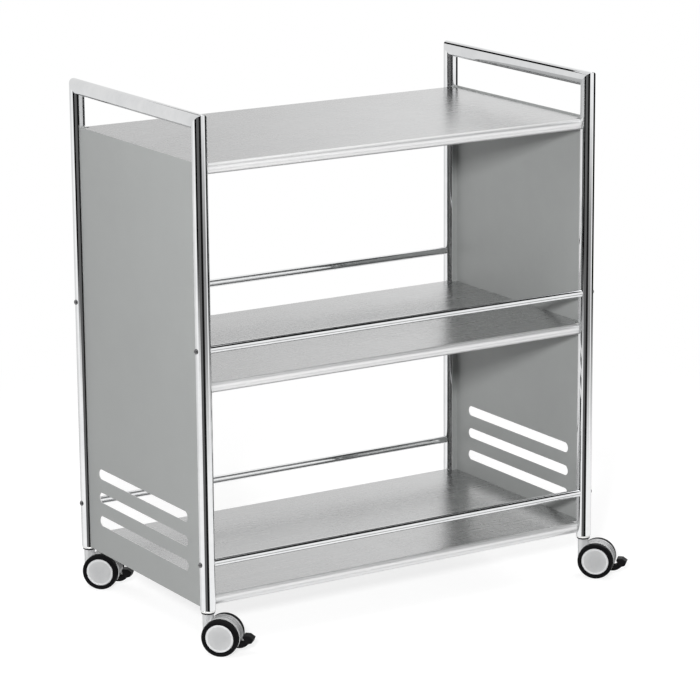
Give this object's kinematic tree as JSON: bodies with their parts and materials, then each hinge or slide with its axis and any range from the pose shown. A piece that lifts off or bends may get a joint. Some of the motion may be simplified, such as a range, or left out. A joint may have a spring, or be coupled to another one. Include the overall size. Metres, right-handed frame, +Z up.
{
  "type": "hostess trolley",
  "caption": "Wheeled serving trolley with chrome tube side frames, slotted side panels, folded steel shelves, guard rails and swivel casters with foot brakes.",
  "frame": {"origin": "on the floor, at the middle of the footprint with all casters trailing towards +X and -Y", "axes": "+X along the shelves towards the right side panel, +Y to the back, +Z up"},
  "size_m": [0.7496, 0.4496, 0.8],
  "materials": {
    "chrome_tube": "bright chrome-plated tube",
    "shelf_steel": "satin, brushed along the shelf",
    "panel_sheet": "satin grey metallic paint",
    "fastener_steel": "zinc-plated steel",
    "plug_plastic": "light grey moulded plastic",
    "hood_plastic": "silver-grey moulded plastic",
    "rim_plastic": "grey moulded plastic",
    "cap_plastic": "light grey disc with a bevelled rim",
    "tyre_rubber": "black soft tread",
    "lever_plastic": "black moulded plastic"
  },
  "bodies": {
    "frame": {"left_handle_bar": "chrome_tube", "left_side_panel": "panel_sheet", "right_handle_bar": "chrome_tube", "right_side_panel": "panel_sheet", "front_left_upright": "chrome_tube", "front_right_upright": "chrome_tube", "back_left_upright": "chrome_tube", "back_right_upright": "chrome_tube", "bottom_shelf": "shelf_steel", "middle_shelf": "shelf_steel", "top_shelf": "shelf_steel", "front_lower_rail": "chrome_tube", "back_lower_rail": "chrome_tube", "front_upper_rail": "chrome_tube", "back_upper_rail": "chrome_tube", "rail_screws": "fastener_steel", "panel_screws": "fastener_steel", "shelf_nuts": "fastener_steel", "tube_plugs": "plug_plastic", "caster_stems": "fastener_steel"},
    "front_left_caster": {"front_left_hood": "hood_plastic", "front_left_axle": "fastener_steel", "front_left_lever_pin": "fastener_steel"},
    "front_left_lever": {"front_left_brake_lever": "lever_plastic"},
    "front_left_left_wheel": {"front_left_left_tyre": "tyre_rubber", "front_left_left_rim": "rim_plastic", "front_left_left_cap": "cap_plastic"},
    "front_left_right_wheel": {"front_left_right_tyre": "tyre_rubber", "front_left_right_rim": "rim_plastic", "front_left_right_cap": "cap_plastic"},
    "front_right_caster": {"front_right_hood": "hood_plastic", "front_right_axle": "fastener_steel", "front_right_lever_pin": "fastener_steel"},
    "front_right_lever": {"front_right_brake_lever": "lever_plastic"},
    "front_right_left_wheel": {"front_right_left_tyre": "tyre_rubber", "front_right_left_rim": "rim_plastic", "front_right_left_cap": "cap_plastic"},
    "front_right_right_wheel": {"front_right_right_tyre": "tyre_rubber", "front_right_right_rim": "rim_plastic", "front_right_right_cap": "cap_plastic"},
    "back_left_caster": {"back_left_hood": "hood_plastic", "back_left_axle": "fastener_steel", "back_left_lever_pin": "fastener_steel"},
    "back_left_lever": {"back_left_brake_lever": "lever_plastic"},
    "back_left_left_wheel": {"back_left_left_tyre": "tyre_rubber", "back_left_left_rim": "rim_plastic", "back_left_left_cap": "cap_plastic"},
    "back_left_right_wheel": {"back_left_right_tyre": "tyre_rubber", "back_left_right_rim": "rim_plastic", "back_left_right_cap": "cap_plastic"},
    "back_right_caster": {"back_right_hood": "hood_plastic", "back_right_axle": "fastener_steel", "back_right_lever_pin": "fastener_steel"},
    "back_right_lever": {"back_right_brake_lever": "lever_plastic"},
    "back_right_left_wheel": {"back_right_left_tyre": "tyre_rubber", "back_right_left_rim": "rim_plastic", "back_right_left_cap": "cap_plastic"},
    "back_right_right_wheel": {"back_right_right_tyre": "tyre_rubber", "back_right_right_rim": "rim_plastic", "back_right_right_cap": "cap_plastic"}
  },
  "joints": [
    {"name": "front_left_swivel", "type": "hinge", "parent": "frame", "child": "front_left_caster", "pos_m": [-0.35655, -0.17045, 0.0597], "axis": [0, 0, 1], "continuous": true},
    {"name": "front_left_left_roll", "type": "hinge", "parent": "front_left_caster", "child": "front_left_left_wheel", "pos_m": [-0.34099, -0.18601, 0.028], "axis": [0.7071, 0.7071, 0], "continuous": true},
    {"name": "front_left_right_roll", "type": "hinge", "parent": "front_left_caster", "child": "front_left_right_wheel", "pos_m": [-0.34099, -0.18601, 0.028], "axis": [0.7071, 0.7071, 0], "continuous": true},
    {"name": "front_left_brake", "type": "hinge", "parent": "front_left_caster", "child": "front_left_lever", "pos_m": [-0.33094, -0.19606, 0.01824], "axis": [0.7071, 0.7071, 0], "range_deg": [0, 18]},
    {"name": "front_right_swivel", "type": "hinge", "parent": "frame", "child": "front_right_caster", "pos_m": [0.32045, -0.17045, 0.0597], "axis": [0, 0, 1], "continuous": true},
    {"name": "front_right_left_roll", "type": "hinge", "parent": "front_right_caster", "child": "front_right_left_wheel", "pos_m": [0.336, -0.18601, 0.028], "axis": [0.7071, 0.7071, 0], "continuous": true},
    {"name": "front_right_right_roll", "type": "hinge", "parent": "front_right_caster", "child": "front_right_right_wheel", "pos_m": [0.336, -0.18601, 0.028], "axis": [0.7071, 0.7071, 0], "continuous": true},
    {"name": "front_right_brake", "type": "hinge", "parent": "front_right_caster", "child": "front_right_lever", "pos_m": [0.34606, -0.19606, 0.01824], "axis": [0.7071, 0.7071, 0], "range_deg": [0, 18]},
    {"name": "back_left_swivel", "type": "hinge", "parent": "frame", "child": "back_left_caster", "pos_m": [-0.35655, 0.20655, 0.0597], "axis": [0, 0, 1], "continuous": true},
    {"name": "back_left_left_roll", "type": "hinge", "parent": "back_left_caster", "child": "back_left_left_wheel", "pos_m": [-0.34099, 0.19099, 0.028], "axis": [0.7071, 0.7071, 0], "continuous": true},
    {"name": "back_left_right_roll", "type": "hinge", "parent": "back_left_caster", "child": "back_left_right_wheel", "pos_m": [-0.34099, 0.19099, 0.028], "axis": [0.7071, 0.7071, 0], "continuous": true},
    {"name": "back_left_brake", "type": "hinge", "parent": "back_left_caster", "child": "back_left_lever", "pos_m": [-0.33094, 0.18094, 0.01824], "axis": [0.7071, 0.7071, 0], "range_deg": [0, 18]},
    {"name": "back_right_swivel", "type": "hinge", "parent": "frame", "child": "back_right_caster", "pos_m": [0.32045, 0.20655, 0.0597], "axis": [0, 0, 1], "continuous": true},
    {"name": "back_right_left_roll", "type": "hinge", "parent": "back_right_caster", "child": "back_right_left_wheel", "pos_m": [0.336, 0.19099, 0.028], "axis": [0.7071, 0.7071, 0], "continuous": true},
    {"name": "back_right_right_roll", "type": "hinge", "parent": "back_right_caster", "child": "back_right_right_wheel", "pos_m": [0.336, 0.19099, 0.028], "axis": [0.7071, 0.7071, 0], "continuous": true},
    {"name": "back_right_brake", "type": "hinge", "parent": "back_right_caster", "child": "back_right_lever", "pos_m": [0.34606, 0.18094, 0.01824], "axis": [0.7071, 0.7071, 0], "range_deg": [0, 18]}
  ]
}
